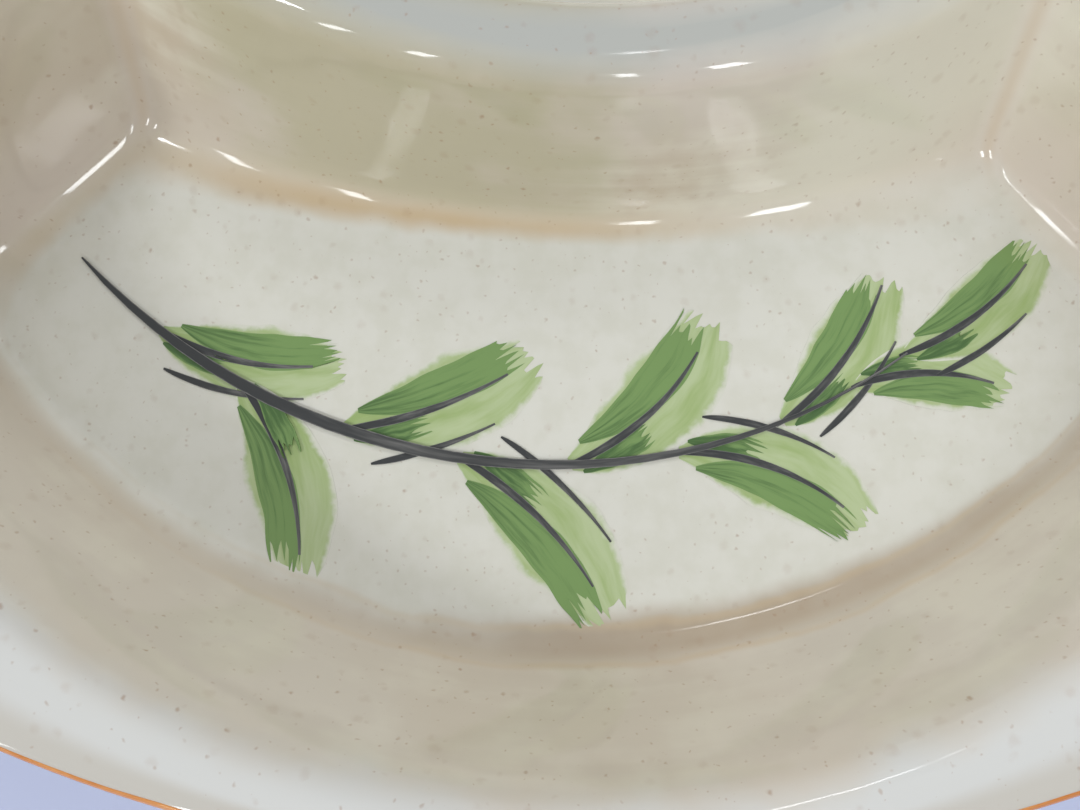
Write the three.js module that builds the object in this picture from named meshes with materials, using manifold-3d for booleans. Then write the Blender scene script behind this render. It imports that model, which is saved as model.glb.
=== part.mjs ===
// Divided serving dish in glazed stoneware: a round well in the middle, four lobed compartments
// around it, sloping dividers on the diagonals, and one round flange with an enamelled edge.
// Millimetres, +Z up, origin on the table under the centre of the dish.

import * as THREE from 'three';
import { mergeVertices } from 'three/addons/utils/BufferGeometryUtils.js';
import Module from 'manifold-3d';

const wasm = await Module();
wasm.setup();

// Heights
const FOOT_HEIGHT = 4;            // table to the underside of the base plate
const PLATE_THICKNESS = 6;        // base plate, floor of the well and of the compartments
const WALL_HEIGHT = 29;           // floor to the crest of ring, dividers and flange
const FLANGE_THICKNESS = 5;       // flange where it sits on the lobe walls

// Radial chain along the middle of a compartment, from the axis outwards
const WELL_RADIUS = 73;           // inside edge of the ring's crest
const WELL_FLARE = 11;            // how far the well narrows from crest to floor
const RING_CREST_WIDTH = 9;       // flat width of the ring's crest
const INNER_FLARE = 7;            // run of the inner wall, crest to floor
const FLOOR_LENGTH = 62.5;        // compartment floor, inner crease to outer crease
const LOBE_FLARE = 9.5;           // run of the lobe wall, floor to flange
const FLANGE_WIDTH = 6;           // flange at the middle of a lobe

// Compartment outline
const INNER_CREASE_RADIUS = 170;  // the inner crease is flatter than the ring above it
const LOBE_RADIUS = 101;          // outer crease, and the edge of the flange above it
const DIVIDER_CREST_WIDTH = 9;
const DIVIDER_FLARE = 7.5;        // run of each divider face, crest to floor
const INNER_CORNER_RADIUS = 5;    // floor corner between inner wall and divider
const TIP_RADIUS = 12;            // floor corner between divider and lobe wall
const CREASE_RADIUS = 5;          // soft crease between floor and walls
const SHOULDER_RADIUS = 3.5;      // rolled top edge of every wall

// Walls, edges and foot
const LOBE_WALL = 5;              // thickness of a lobe wall, measured level
const NOTCH_RADIUS = 11;          // hollow between two lobes, outside
const PLATE_EDGE_RADIUS = 3;      // rounded lower edge of the base plate
const FOOT_RADIUS = 108;          // middle of the foot ring
const FOOT_WIDTH = 8;
const FOOT_EDGE_RADIUS = 1.5;
const LINE_THICKNESS = 1.2;       // enamel line on the rim, measured level
const LINE_HEIGHT = 3.4;
const LUTE = 0.3;                 // gap between members
const SEAM_MARGIN = 5;            // ring seam beyond the inner corners
const CUT_CLEARANCE = 6;          // how far cutting solids run past what they cut

const SIDES = ['front', 'right', 'back', 'left'];
const CORNERS = ['front_left', 'front_right', 'back_right', 'back_left'];

// Smoothness of round stretches
const ROUND_STEPS = 72;           // around the axis
const INNER_STEPS = 14;           // inner crease
const LOBE_STEPS = 26;            // lobe arc
const CORNER_STEPS = 4;
const TIP_STEPS = 6;
const FILLET_STEPS = 3;

// Levels and radii that follow
const FLOOR_Z = FOOT_HEIGHT + PLATE_THICKNESS;
const CREST_Z = FLOOR_Z + WALL_HEIGHT;
const FLANGE_UNDER_Z = CREST_Z - FLANGE_THICKNESS;
const RING_OUTER = WELL_RADIUS + RING_CREST_WIDTH;
const INNER_REACH = RING_OUTER + INNER_FLARE;
const LOBE_REACH = INNER_REACH + FLOOR_LENGTH;
const LOBE_TOP_REACH = LOBE_REACH + LOBE_FLARE;
const RIM_RADIUS = LOBE_TOP_REACH + FLANGE_WIDTH;
const HALF_ANGLE = Math.PI / SIDES.length;
const CREST_HALF_WIDTH = DIVIDER_CREST_WIDTH / 2;
const FLOOR_HALF_WIDTH = CREST_HALF_WIDTH + DIVIDER_FLARE;
const MERGE_DISTANCE = 1e-4;      // points closer than this are one point

const vector = (x, y) => new THREE.Vector2(x, y);

// Direction of the divider clockwise of a compartment that opens towards +Y, and across it
const DIAGONAL = vector(Math.sin(HALF_ANGLE), Math.cos(HALF_ANGLE));
const ACROSS = vector(-DIAGONAL.y, DIAGONAL.x);

const glaze = { roughness: 0.18, metalness: 0 };
const creamGlaze = new THREE.MeshStandardMaterial({ color: '#cfccbf', ...glaze });
const washedGlaze = new THREE.MeshStandardMaterial({ color: '#bdb59c', ...glaze });
const flangeGlaze = new THREE.MeshStandardMaterial({ color: '#d2d3cf', ...glaze });
const orangeEnamel = new THREE.MeshStandardMaterial({ color: '#cf7b36', ...glaze });
const bareStoneware = new THREE.MeshStandardMaterial({ color: '#b59f82', roughness: 0.85, metalness: 0 });

// Plane geometry

function arcPoints(centre, radius, start, end, steps) {
  return Array.from({ length: steps + 1 }, (_, i) => {
    const angle = THREE.MathUtils.lerp(start, end, i / steps);
    return vector(centre.x + radius * Math.cos(angle), centre.y + radius * Math.sin(angle));
  });
}

function turned(points, angle) {
  const middle = vector(0, 0);
  return points.map((point) => point.clone().rotateAround(middle, angle));
}

// The point at a given offset from the diagonal, on the outer side of a circle centred on the Y axis.
function meetDiagonal(offset, centreY, radius) {
  const base = ACROSS.clone().multiplyScalar(offset).sub(vector(0, centreY));
  const half = base.dot(DIAGONAL);
  const along = -half + Math.sqrt(half * half - base.lengthSq() + radius * radius);
  return DIAGONAL.clone().multiplyScalar(along).addScaledVector(ACROSS, offset);
}

const directionFrom = (centre, point) => Math.atan2(point.y - centre.y, point.x - centre.x);

// One outline of a compartment that opens towards +Y: inner arc, divider lines and lobe arc, with
// its four corners rounded. Counter-clockwise; every outline has the same number of points.
function compartmentOutline({ innerReach, innerRadius, halfWidth, reach, radius, corner, tip }) {
  const innerCentre = vector(0, innerReach - innerRadius);
  const lobeCentre = vector(0, reach - radius);
  const cornerCentre = meetDiagonal(halfWidth + corner, innerCentre.y, innerRadius + corner);
  const tipCentre = meetDiagonal(halfWidth + tip, lobeCentre.y, radius - tip);
  const toDivider = -HALF_ANGLE;
  const innerEnd = directionFrom(innerCentre, cornerCentre);
  const lobeStart = directionFrom(lobeCentre, tipCentre);
  const right = [
    ...arcPoints(cornerCentre, corner, innerEnd - Math.PI, toDivider, CORNER_STEPS),
    ...arcPoints(tipCentre, tip, toDivider, lobeStart, TIP_STEPS),
  ];
  const lobe = arcPoints(lobeCentre, radius, lobeStart, Math.PI - lobeStart, LOBE_STEPS).slice(1, -1);
  const left = right.map(({ x, y }) => vector(-x, y)).reverse();
  const inner = arcPoints(innerCentre, innerRadius, Math.PI - innerEnd, innerEnd, INNER_STEPS).slice(1, -1);
  return [...right, ...lobe, ...left, ...inner];
}

const floorOutline = compartmentOutline({
  innerReach: INNER_REACH,
  innerRadius: INNER_CREASE_RADIUS,
  halfWidth: FLOOR_HALF_WIDTH,
  reach: LOBE_REACH,
  radius: LOBE_RADIUS,
  corner: INNER_CORNER_RADIUS,
  tip: TIP_RADIUS,
});

const crestOutline = compartmentOutline({
  innerReach: RING_OUTER,
  innerRadius: RING_OUTER,
  halfWidth: CREST_HALF_WIDTH,
  reach: LOBE_TOP_REACH,
  radius: LOBE_RADIUS,
  corner: INNER_CORNER_RADIUS,
  tip: TIP_RADIUS,
});

// The outside of the dish under the flange: four lobes with hollows between them.
// share is 0 at the floor and 1 at the crest.
function lobedOutline(share) {
  const reach = LOBE_REACH + share * LOBE_FLARE + LOBE_WALL;
  const radius = LOBE_RADIUS + LOBE_WALL;
  const lobeCentre = vector(0, reach - radius);
  const notchCentre = meetDiagonal(0, lobeCentre.y, radius + NOTCH_RADIUS);
  const lobeStart = directionFrom(lobeCentre, notchCentre);
  const notchEnd = lobeStart + Math.PI;
  const notchStart = Math.PI - notchEnd - 2 * HALF_ANGLE + 2 * Math.PI;
  const side = [
    ...arcPoints(notchCentre, NOTCH_RADIUS, notchStart, notchEnd, TIP_STEPS),
    ...arcPoints(lobeCentre, radius, lobeStart, Math.PI - lobeStart, LOBE_STEPS).slice(1, -1),
  ];
  return SIDES.flatMap((_, i) => turned(side, i * 2 * HALF_ANGLE));
}

const blend = (a, b, share) => a.map((point, i) => point.clone().lerp(b[i], share));

// Solids

// A closed solid through a stack of outlines, each with its height, lowest first.
function loft(rings) {
  const count = rings[0].outline.length;
  const positions = rings.flatMap(({ outline, z }) => outline.flatMap(({ x, y }) => [x, y, z]));
  const index = [];
  for (let level = 0; level + 1 < rings.length; level += 1) {
    for (let i = 0; i < count; i += 1) {
      const low = level * count;
      const next = (i + 1) % count;
      index.push(low + i, low + next, low + count + next);
      index.push(low + i, low + count + next, low + count + i);
    }
  }
  const top = (rings.length - 1) * count;
  for (const [a, b, c] of THREE.ShapeUtils.triangulateShape(rings[0].outline, [])) {
    index.push(a, c, b);
  }
  for (const [a, b, c] of THREE.ShapeUtils.triangulateShape(rings.at(-1).outline, [])) {
    index.push(top + a, top + b, top + c);
  }
  const geometry = new THREE.BufferGeometry();
  geometry.setAttribute('position', new THREE.Float32BufferAttribute(positions, 3));
  geometry.setIndex(index);
  return geometry;
}

// A ring or disc turned about Z. The profile is a closed loop of radius and height.
function turnedProfile(profile) {
  const loop = THREE.ShapeUtils.isClockWise(profile) ? [...profile].reverse() : profile;
  return new THREE.LatheGeometry([...loop, loop[0]], ROUND_STEPS).rotateX(Math.PI / 2);
}

function bezier(start, control, end) {
  return new THREE.QuadraticBezierCurve(start, control, end).getPoints(FILLET_STEPS);
}

function toSolid(geometry) {
  const bare = geometry.clone();
  bare.deleteAttribute('normal');
  bare.deleteAttribute('uv');
  const merged = mergeVertices(bare, MERGE_DISTANCE);
  return new wasm.Manifold(new wasm.Mesh({
    numProp: 3,
    vertProperties: new Float32Array(merged.attributes.position.array),
    triVerts: new Uint32Array(merged.index.array),
  }));
}

function toGeometry(solid) {
  const mesh = solid.getMesh();
  const geometry = new THREE.BufferGeometry();
  geometry.setAttribute('position', new THREE.BufferAttribute(new Float32Array(mesh.vertProperties), 3));
  geometry.setIndex(new THREE.BufferAttribute(new Uint32Array(mesh.triVerts), 1));
  geometry.computeVertexNormals();
  return geometry;
}

const cut = (solid, tools) => tools.reduce((rest, tool) => rest.subtract(tool), solid);

// Hollows of the dish

// Section of every compartment wall: share of the run from floor outline to crest outline, and
// height over the floor. It leaves the floor in a soft crease and rolls over at the crest.
function wallSection() {
  const toe = CREASE_RADIUS / LOBE_FLARE;
  const roll = SHOULDER_RADIUS / LOBE_FLARE;
  const low = CREASE_RADIUS / WALL_HEIGHT;
  const high = 1 - SHOULDER_RADIUS / WALL_HEIGHT;
  return [
    ...bezier(vector(-toe, 0), vector(0, 0), vector(low, CREASE_RADIUS)),
    ...bezier(vector(high, WALL_HEIGHT * high), vector(1, WALL_HEIGHT), vector(1 + roll, WALL_HEIGHT)),
    vector(1 + roll, WALL_HEIGHT + CUT_CLEARANCE),
  ];
}

const compartmentHollow = loft(wallSection().map(({ x: share, y: height }) => ({
  outline: blend(floorOutline, crestOutline, share),
  z: FLOOR_Z + height,
})));

const sideAngle = (i) => Math.PI + i * 2 * HALF_ANGLE;
const hollows = SIDES.map((_, i) => toSolid(compartmentHollow.clone().rotateZ(sideAngle(i))));

// Seams between the members

const innerCorner = meetDiagonal(FLOOR_HALF_WIDTH, INNER_REACH - INNER_CREASE_RADIUS, INNER_CREASE_RADIUS);
const tipCentre = meetDiagonal(FLOOR_HALF_WIDTH + TIP_RADIUS, LOBE_REACH - LOBE_RADIUS,
  LOBE_RADIUS - TIP_RADIUS);
const RING_SEAM_LOW = innerCorner.length() + SEAM_MARGIN;
const RING_SEAM_HIGH = RING_OUTER + SEAM_MARGIN;
const DIVIDER_END = tipCentre.dot(DIAGONAL);

// The seam around the ring is a cone, so that it clears the inner corners at every height.
function seamPoint(z, clearance) {
  const share = (z - FLOOR_Z) / WALL_HEIGHT;
  return vector(THREE.MathUtils.lerp(RING_SEAM_LOW, RING_SEAM_HIGH, share) + clearance, z);
}

function ringSpace() {
  return toSolid(turnedProfile([
    vector(0, FLOOR_Z),
    seamPoint(FLOOR_Z, LUTE),
    seamPoint(CREST_Z + CUT_CLEARANCE, LUTE),
    vector(0, CREST_Z + CUT_CLEARANCE),
  ]));
}

// The block that a divider is cut from, along the diagonal clockwise of side i.
function dividerBlock(i, clearance, low, high) {
  const width = 2 * (FLOOR_HALF_WIDTH + CREASE_RADIUS + clearance);
  const length = DIVIDER_END + clearance;
  const block = new THREE.BoxGeometry(width, length, high - low);
  block.translate(0, length / 2, (low + high) / 2);
  return toSolid(block.rotateZ(sideAngle(i) - HALF_ANGLE));
}

const seamBlocks = SIDES.map((_, i) => dividerBlock(i, LUTE, FLOOR_Z - LUTE, CREST_Z + CUT_CLEARANCE));

// The quarter of the dish that belongs to side i, less half a lute gap along each diagonal.
function quarter(i) {
  const far = 2 * RIM_RADIUS;
  const near = vector(0, LUTE / 2 / Math.sin(HALF_ANGLE));
  const right = DIAGONAL.clone().multiplyScalar(far).add(near);
  const left = vector(-right.x, right.y);
  const outline = [near, right, left];
  const wedge = loft([{ outline, z: FLOOR_Z - CUT_CLEARANCE }, { outline, z: CREST_Z + CUT_CLEARANCE }]);
  return toSolid(wedge.rotateZ(sideAngle(i)));
}

// Members of the dish

function basePlate() {
  const low = bezier(vector(-PLATE_EDGE_RADIUS, FOOT_HEIGHT), vector(0, FOOT_HEIGHT),
    vector(0, FOOT_HEIGHT + PLATE_EDGE_RADIUS));
  const slope = LOBE_FLARE / WALL_HEIGHT;
  return loft([...low, vector(0, FLOOR_Z)].map(({ x: inset, y: z }) => ({
    outline: lobedOutline((inset + slope * (z - FLOOR_Z)) / LOBE_FLARE),
    z,
  })));
}

function centreRing() {
  const floorRadius = WELL_RADIUS - WELL_FLARE;
  const slope = WELL_FLARE / WALL_HEIGHT;
  const crestEdge = vector(WELL_RADIUS, CREST_Z);
  const well = [
    ...bezier(vector(floorRadius - CREASE_RADIUS, FLOOR_Z), vector(floorRadius, FLOOR_Z),
      vector(floorRadius + slope * CREASE_RADIUS, FLOOR_Z + CREASE_RADIUS)),
    ...bezier(vector(WELL_RADIUS - slope * SHOULDER_RADIUS, CREST_Z - SHOULDER_RADIUS), crestEdge,
      vector(WELL_RADIUS + SHOULDER_RADIUS, CREST_Z)),
    vector(WELL_RADIUS + SHOULDER_RADIUS, CREST_Z + CUT_CLEARANCE),
    vector(0, CREST_Z + CUT_CLEARANCE),
    vector(0, FLOOR_Z),
  ];
  const body = toSolid(turnedProfile([
    vector(floorRadius - 2 * CREASE_RADIUS, FLOOR_Z + LUTE),
    seamPoint(FLOOR_Z + LUTE, 0),
    seamPoint(CREST_Z, 0),
    vector(floorRadius - 2 * CREASE_RADIUS, CREST_Z),
  ]));
  return toGeometry(cut(body, [toSolid(turnedProfile(well)), ...hollows]));
}

const ringClearance = ringSpace();

function divider(i) {
  return toGeometry(cut(dividerBlock(i, 0, FLOOR_Z + LUTE, CREST_Z), [ringClearance, ...hollows]));
}

function lobeWall(i) {
  const wallTop = FLANGE_UNDER_Z - LUTE;
  const body = toSolid(loft([
    { outline: lobedOutline(LUTE / WALL_HEIGHT), z: FLOOR_Z + LUTE },
    { outline: lobedOutline((wallTop - FLOOR_Z) / WALL_HEIGHT), z: wallTop },
  ]));
  return toGeometry(cut(body.intersect(quarter(i)), [ringClearance, ...seamBlocks, hollows[i]]));
}

function rimFlange() {
  const edge = RIM_RADIUS - LINE_THICKNESS - LUTE;
  const taper = FLANGE_THICKNESS - LINE_HEIGHT;
  const plate = toSolid(turnedProfile([
    vector(DIVIDER_END - TIP_RADIUS, FLANGE_UNDER_Z),
    vector(LOBE_TOP_REACH, FLANGE_UNDER_Z),
    vector(edge, FLANGE_UNDER_Z + taper),
    vector(edge, CREST_Z),
    vector(DIVIDER_END - TIP_RADIUS, CREST_Z),
  ]));
  return toGeometry(cut(plate, [ringClearance, ...seamBlocks, ...hollows]));
}

function footRing() {
  const inside = FOOT_RADIUS - FOOT_WIDTH / 2;
  const outside = FOOT_RADIUS + FOOT_WIDTH / 2;
  const top = FOOT_HEIGHT - LUTE;
  return turnedProfile([
    ...bezier(vector(inside, FOOT_EDGE_RADIUS), vector(inside, 0), vector(inside + FOOT_EDGE_RADIUS, 0)),
    ...bezier(vector(outside - FOOT_EDGE_RADIUS, 0), vector(outside, 0), vector(outside, FOOT_EDGE_RADIUS)),
    vector(outside, top),
    vector(inside, top),
  ]);
}

function rimLine() {
  const inside = RIM_RADIUS - LINE_THICKNESS;
  const low = CREST_Z - LINE_HEIGHT;
  const middle = CREST_Z - LINE_HEIGHT / 2;
  return turnedProfile([
    vector(inside, low),
    ...bezier(vector(inside + LINE_THICKNESS / 2, low), vector(RIM_RADIUS, low), vector(RIM_RADIUS, middle)),
    ...bezier(vector(RIM_RADIUS, middle), vector(RIM_RADIUS, CREST_Z),
      vector(inside + LINE_THICKNESS / 2, CREST_Z)).slice(1),
    vector(inside, CREST_Z),
  ]);
}

const dish = new THREE.Group();

function place(name, geometry, material) {
  const mesh = new THREE.Mesh(geometry, material);
  mesh.name = name;
  dish.add(mesh);
}

place('base_plate', basePlate(), creamGlaze);
place('centre_ring', centreRing(), washedGlaze);
SIDES.forEach((side, i) => {
  place(`divider_${CORNERS[i]}`, divider(i), washedGlaze);
  place(`lobe_wall_${side}`, lobeWall(i), washedGlaze);
});
place('rim_flange', rimFlange(), flangeGlaze);
place('foot_ring', footRing(), bareStoneware);
place('rim_line', rimLine(), orangeEnamel);

export default dish;
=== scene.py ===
"""Divided serving dish in glazed stoneware: a round well, four lobed compartments around it, a flange
with an enamelled edge, an unglazed foot and a painted leaf sprig in each compartment.
Metres, +Z up, origin on the table under the centre of the dish."""

import cmath
import functools
import math
import random

import bmesh
import bpy
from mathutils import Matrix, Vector, noise


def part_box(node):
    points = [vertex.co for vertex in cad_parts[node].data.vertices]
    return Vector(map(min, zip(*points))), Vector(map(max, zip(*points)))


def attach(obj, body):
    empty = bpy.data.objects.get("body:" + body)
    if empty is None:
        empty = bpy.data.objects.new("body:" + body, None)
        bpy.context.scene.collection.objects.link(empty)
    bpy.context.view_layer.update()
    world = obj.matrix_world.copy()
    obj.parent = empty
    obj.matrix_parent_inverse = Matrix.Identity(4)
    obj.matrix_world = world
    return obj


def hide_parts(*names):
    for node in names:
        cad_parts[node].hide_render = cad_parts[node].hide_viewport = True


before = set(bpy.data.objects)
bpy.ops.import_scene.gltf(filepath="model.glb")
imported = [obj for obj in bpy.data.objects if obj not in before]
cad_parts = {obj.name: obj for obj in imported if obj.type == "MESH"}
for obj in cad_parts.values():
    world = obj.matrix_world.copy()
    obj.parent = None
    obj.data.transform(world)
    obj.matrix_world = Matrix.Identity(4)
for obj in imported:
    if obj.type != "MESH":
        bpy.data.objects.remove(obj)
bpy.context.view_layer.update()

bl_info = {
    "name": "Divided dish",
    "version": (1, 0, 0),
    "blender": (4, 5, 0),
    "location": "3D View > Sidebar > Dish",
    "description": "Glazed stoneware dish with lobed compartments, an enamelled rim and leaf sprigs",
    "category": "Add Mesh",
}

BODY = "root"
SIDES = ("front", "right", "back", "left")
CORNERS = ("front_left", "front_right", "back_right", "back_left")
QUARTER = 2 * math.pi / len(SIDES)
HALF_ANGLE = QUARTER / 2
MM = 0.001

# Steps along the outline of a compartment and along its section
CORNER_STEPS = 10
DIVIDER_STEPS = 12
TIP_STEPS = 14
LOBE_STEPS = 64
INNER_STEPS = 40
FILLET_STEPS = 8
WALL_STEPS = 9
CREST_STEPS = 3

# Steps of the turned rings, under the flange, and along and across a brush stroke
RING_VERTICES = 360
RIM_STEPS = 16
FOOT_STEPS = 5
UNDER_STEPS = 4
STROKE_STEPS = 28
BRISTLES = 16
LINER_LANES = 2

# Rings on the flat floors: shares of the flare inside the toe of the crease, scales about the middle of a
# compartment, and distances in from the crease of the well
TOE_RINGS = (0.42, 0.28, 0.14)
FLOOR_SCALES = (0.8, 0.55, 0.28)
WELL_RINGS = (0.002, 0.004, 0.007, 0.011, 0.020, 0.036)

# Rings on the underside: shares of the way from lower edge to foot, and of the foot's radius
EDGE_TO_FOOT = (0.25, 0.6, 1.0)
INSIDE_FOOT = (0.7, 0.35)

# Marks along the section in millimetres, where they are not counted from the floor outline
FLOOR_MARK = -30.0
CREST_MARK = 37.0
RIM_MARK = 40.0
OUTSIDE_MARK = 60.0

# How far the body stays under the enamel, how thick enamel and paint are, how far the foot runs into the
# body, the fillet under the flange, and how far in from its edge the flange begins to thin
UNDER_ENAMEL = 0.05 * MM
ENAMEL_DEPTH = 0.3 * MM
PAINT_THICKNESS = 0.3 * MM
FOOT_OVERLAP = 0.1 * MM
FLANGE_FILLET = 3.5 * MM
RIM_TAPER = 4.5 * MM

# Most of the overhang that the fillet may take, where the enamel starts and how far it runs round the rim,
# and how far and how often its upper edge wavers
FILLET_SHARE = 0.7
ENAMEL_START = 0.24
ENAMEL_RUN = 1.5
ENAMEL_WAVER = ((0.10, 9), (0.05, 31))

MERGE_DISTANCE = 1e-6
STAGE_SIZE = 40.0

# Direction of the divider clockwise of a compartment that opens towards +Y. Points in the plane are
# complex numbers.
DIAGONAL = cmath.rect(1.0, math.pi / 2 - HALF_ANGLE)
ACROSS = DIAGONAL * 1j


# Settings that a user would change


def linear(hex_code):
    """An sRGB hex colour as linear red, green and blue."""
    channels = [int(hex_code[i:i + 2], 16) / 255 for i in (1, 3, 5)]
    return [c / 12.92 if c <= 0.04045 else ((c + 0.055) / 1.055) ** 2.4 for c in channels]


def length(name, description, default):
    return bpy.props.FloatProperty(
        name=name, description=description, default=default, min=0.0, precision=4, unit="LENGTH")


def colour(name, description, hex_code):
    return bpy.props.FloatVectorProperty(
        name=name, description=description, default=linear(hex_code), size=3, min=0.0, max=1.0,
        subtype="COLOR")


class DishSizes(bpy.types.PropertyGroup):
    """Heights and radii of the dish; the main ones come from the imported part."""

    foot_height: length("Foot height", "Table to the underside of the dish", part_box("base_plate")[0].z)
    floor_height: length("Floor height", "Table to the compartment floors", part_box("base_plate")[1].z)
    crest_height: length("Crest height", "Table to the crest of the walls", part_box("rim_flange")[1].z)
    rim_radius: length("Rim radius", "Outer edge of the enamelled rim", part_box("rim_line")[1].x)
    well_radius: length("Well radius", "Inside edge of the ring's crest", 0.073)
    well_flare: length("Well flare", "How far the well narrows from crest to floor", 0.011)
    ring_crest: length("Ring crest", "Flat width of the ring's crest", 0.009)
    inner_flare: length("Inner flare", "Run of a compartment's inner wall", 0.007)
    floor_length: length("Floor length", "Compartment floor, inner to outer crease", 0.0625)
    lobe_flare: length("Lobe flare", "Run of the lobe wall, floor to flange", 0.0095)
    inner_crease_radius: length("Inner crease radius", "Curve of the inner crease", 0.170)
    lobe_radius: length("Lobe radius", "Curve of the outer crease and of the flange above it", 0.101)
    divider_crest: length("Divider crest", "Flat width of a divider's crest", 0.009)
    divider_flare: length("Divider flare", "Run of each divider face", 0.0075)
    corner_radius: length("Corner radius", "Corner between inner wall and divider", 0.005)
    tip_radius: length("Tip radius", "Corner between divider and lobe wall", 0.012)
    crease_radius: length("Crease radius", "Soft crease between floor and walls", 0.005)
    shoulder_radius: length("Shoulder radius", "Rolled top edge of every wall", 0.0035)
    lobe_wall: length("Lobe wall", "Thickness of a lobe wall, measured level", 0.005)
    notch_radius: length("Notch radius", "Hollow between two lobes, outside", 0.011)
    flange_thickness: length("Flange thickness", "Flange where it sits on the lobe walls", 0.005)
    rim_thickness: length("Rim thickness", "Flange at its rolled edge", 0.0034)
    plate_edge: length("Plate edge", "Rounded lower edge of the dish", 0.003)
    foot_radius: length("Foot radius", "Outer edge of the foot ring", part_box("foot_ring")[1].x)
    foot_width: length("Foot width", "Width of the foot ring", 0.008)
    foot_edge: length("Foot edge", "Rounding of the foot ring", 0.0015)


class DishColours(bpy.types.PropertyGroup):
    """Glaze, wash, enamel and paint."""

    cream: colour("Cream", "Speckled stoneware under clear glaze", "#D2D1C8")
    cream_dull: colour("Dull cream", "Where the body shows through greyer", "#CDCCC1")
    cool: colour("Cool white", "Rolled shoulder above the wash, where the glaze is thickest", "#C3C3C0")
    flange: colour("Flange", "Flange outside the shoulder", "#B7B3AB")
    # painted shade: the ring's crest is given a darker grey than the other whites, for the shade it lies in
    crest: colour("Crest white", "Crest of the ring, where the glaze is thinner", "#A7A8A3")
    wash: colour("Wash", "Brushed wash on the walls", "#C4BCAF")
    wash_warm: colour("Warm wash", "Where the wash is richer in iron", "#BEB19D")
    wash_full: colour("Full wash", "Where a fresh load of wash fired to a faint olive", "#B0A98D")
    wash_thin: colour("Thin wash", "Where the brush left less of it", "#D6D2C2")
    blush: colour("Blush", "Where the wash fired to a faint pink", "#CDC2B7")
    crease: colour("Crease", "Wash that ran down and pooled in the creases", "#BDA785")
    # partly painted shade: the wide band in the outer crease is pooled wash darkened as painted shade
    wide_pool_and_shade: colour("Wide crease", "Pooled wash along the outer crease", "#A5947E")
    speck: colour("Speck", "Iron specks in the body", "#926D4E")
    enamel: colour("Enamel", "Line round the rim", "#BD763A")
    enamel_thin: colour("Thin enamel", "Where the enamel is thin", "#CF9258")
    bisque: colour("Bisque", "Unglazed foot", "#B99F80")
    leaf_pale: colour("Pale leaf", "First wash of a leaf where it is thin", "#B0BE93")
    leaf_light: colour("Light leaf", "First wash of a leaf", "#94A96C")
    leaf_mid: colour("Mid leaf", "Second brush stroke of a leaf", "#739157")
    leaf_dark: colour("Dark leaf", "Where the second stroke is loaded", "#466538")
    line: colour("Line", "Brush line of stems and veins", "#37393A")
    line_thin: colour("Thin line", "Where the brush line runs dry", "#7B7A78")
    table: colour("Table", "Plain pale floor of the stage", "#BAC1DC")


# Plane outlines


def arc(centre, radius, start, end, steps):
    return [centre + cmath.rect(radius, start + (end - start) * i / steps) for i in range(steps + 1)]


def straight(start, end, steps):
    return [start + (end - start) * i / steps for i in range(steps + 1)]


def bezier(points, t):
    """The point at a share of the curve that these control points give."""
    while len(points) > 1:
        points = [a + (b - a) * t for a, b in zip(points, points[1:])]
    return points[0]


def bent(start, control, end, steps):
    return [bezier((start, control, end), i / steps) for i in range(steps + 1)]


def along_diagonal(point):
    return (point * DIAGONAL.conjugate()).real


def meet_diagonal(offset, centre_y, radius):
    """The point at an offset from the diagonal, on the outer side of a circle centred on the Y axis."""
    base = ACROSS * offset - 1j * centre_y
    half = along_diagonal(base)
    along = -half + math.sqrt(half * half - abs(base) ** 2 + radius * radius)
    return DIAGONAL * along + ACROSS * offset


def mirrored(points):
    return [complex(-point.real, point.imag) for point in reversed(points)]


def compartment_outline(s, inner_reach, inner_radius, half_width, reach):
    """Outline of a compartment that opens towards +Y, counter-clockwise from its right inner corner."""
    inner_centre = 1j * (inner_reach - inner_radius)
    lobe_centre = 1j * (reach - s.lobe_radius)
    corner_centre = meet_diagonal(
        half_width + s.corner_radius, inner_centre.imag, inner_radius + s.corner_radius)
    tip_centre = meet_diagonal(half_width + s.tip_radius, lobe_centre.imag, s.lobe_radius - s.tip_radius)
    inner_end = cmath.phase(corner_centre - inner_centre)
    lobe_start = cmath.phase(tip_centre - lobe_centre)
    corner = arc(corner_centre, s.corner_radius, inner_end - math.pi, -HALF_ANGLE, CORNER_STEPS)
    tip = arc(tip_centre, s.tip_radius, -HALF_ANGLE, lobe_start, TIP_STEPS)
    right = corner + straight(corner[-1], tip[0], DIVIDER_STEPS)[1:-1] + tip
    lobe = arc(lobe_centre, s.lobe_radius, lobe_start, math.pi - lobe_start, LOBE_STEPS)[1:-1]
    inner = arc(inner_centre, inner_radius, math.pi - inner_end, inner_end, INNER_STEPS)[1:-1]
    return right + lobe + mirrored(right) + inner


def cell_outline(s, crest):
    """Where the crest round a compartment meets its neighbours: middle of the ring, diagonals and rim."""
    ring = s.well_radius + s.ring_crest / 2
    rim = s.rim_radius - s.rim_thickness / 2
    tip_start = CORNER_STEPS + DIVIDER_STEPS
    tip_end = tip_start + TIP_STEPS
    lobe_end = tip_end + LOBE_STEPS
    middle = cmath.phase(DIAGONAL)
    along = [DIAGONAL * along_diagonal(point) for point in crest[:tip_end]]
    corner = arc(0, ring, cmath.phase(crest[0]), middle, CORNER_STEPS // 2)
    corner += straight(corner[-1], along[CORNER_STEPS], CORNER_STEPS // 2)[1:]
    tip = straight(along[tip_start], DIAGONAL * rim, TIP_STEPS // 2)
    tip += arc(0, rim, middle, cmath.phase(crest[tip_end]), TIP_STEPS // 2)[1:]
    right = corner + along[CORNER_STEPS + 1:tip_start] + tip
    lobe = [cmath.rect(rim, cmath.phase(point)) for point in crest[tip_end + 1:lobe_end]]
    inner = [cmath.rect(ring, cmath.phase(point)) for point in crest[lobe_end + tip_end + 1:]]
    return right + lobe + mirrored(right) + inner


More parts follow.
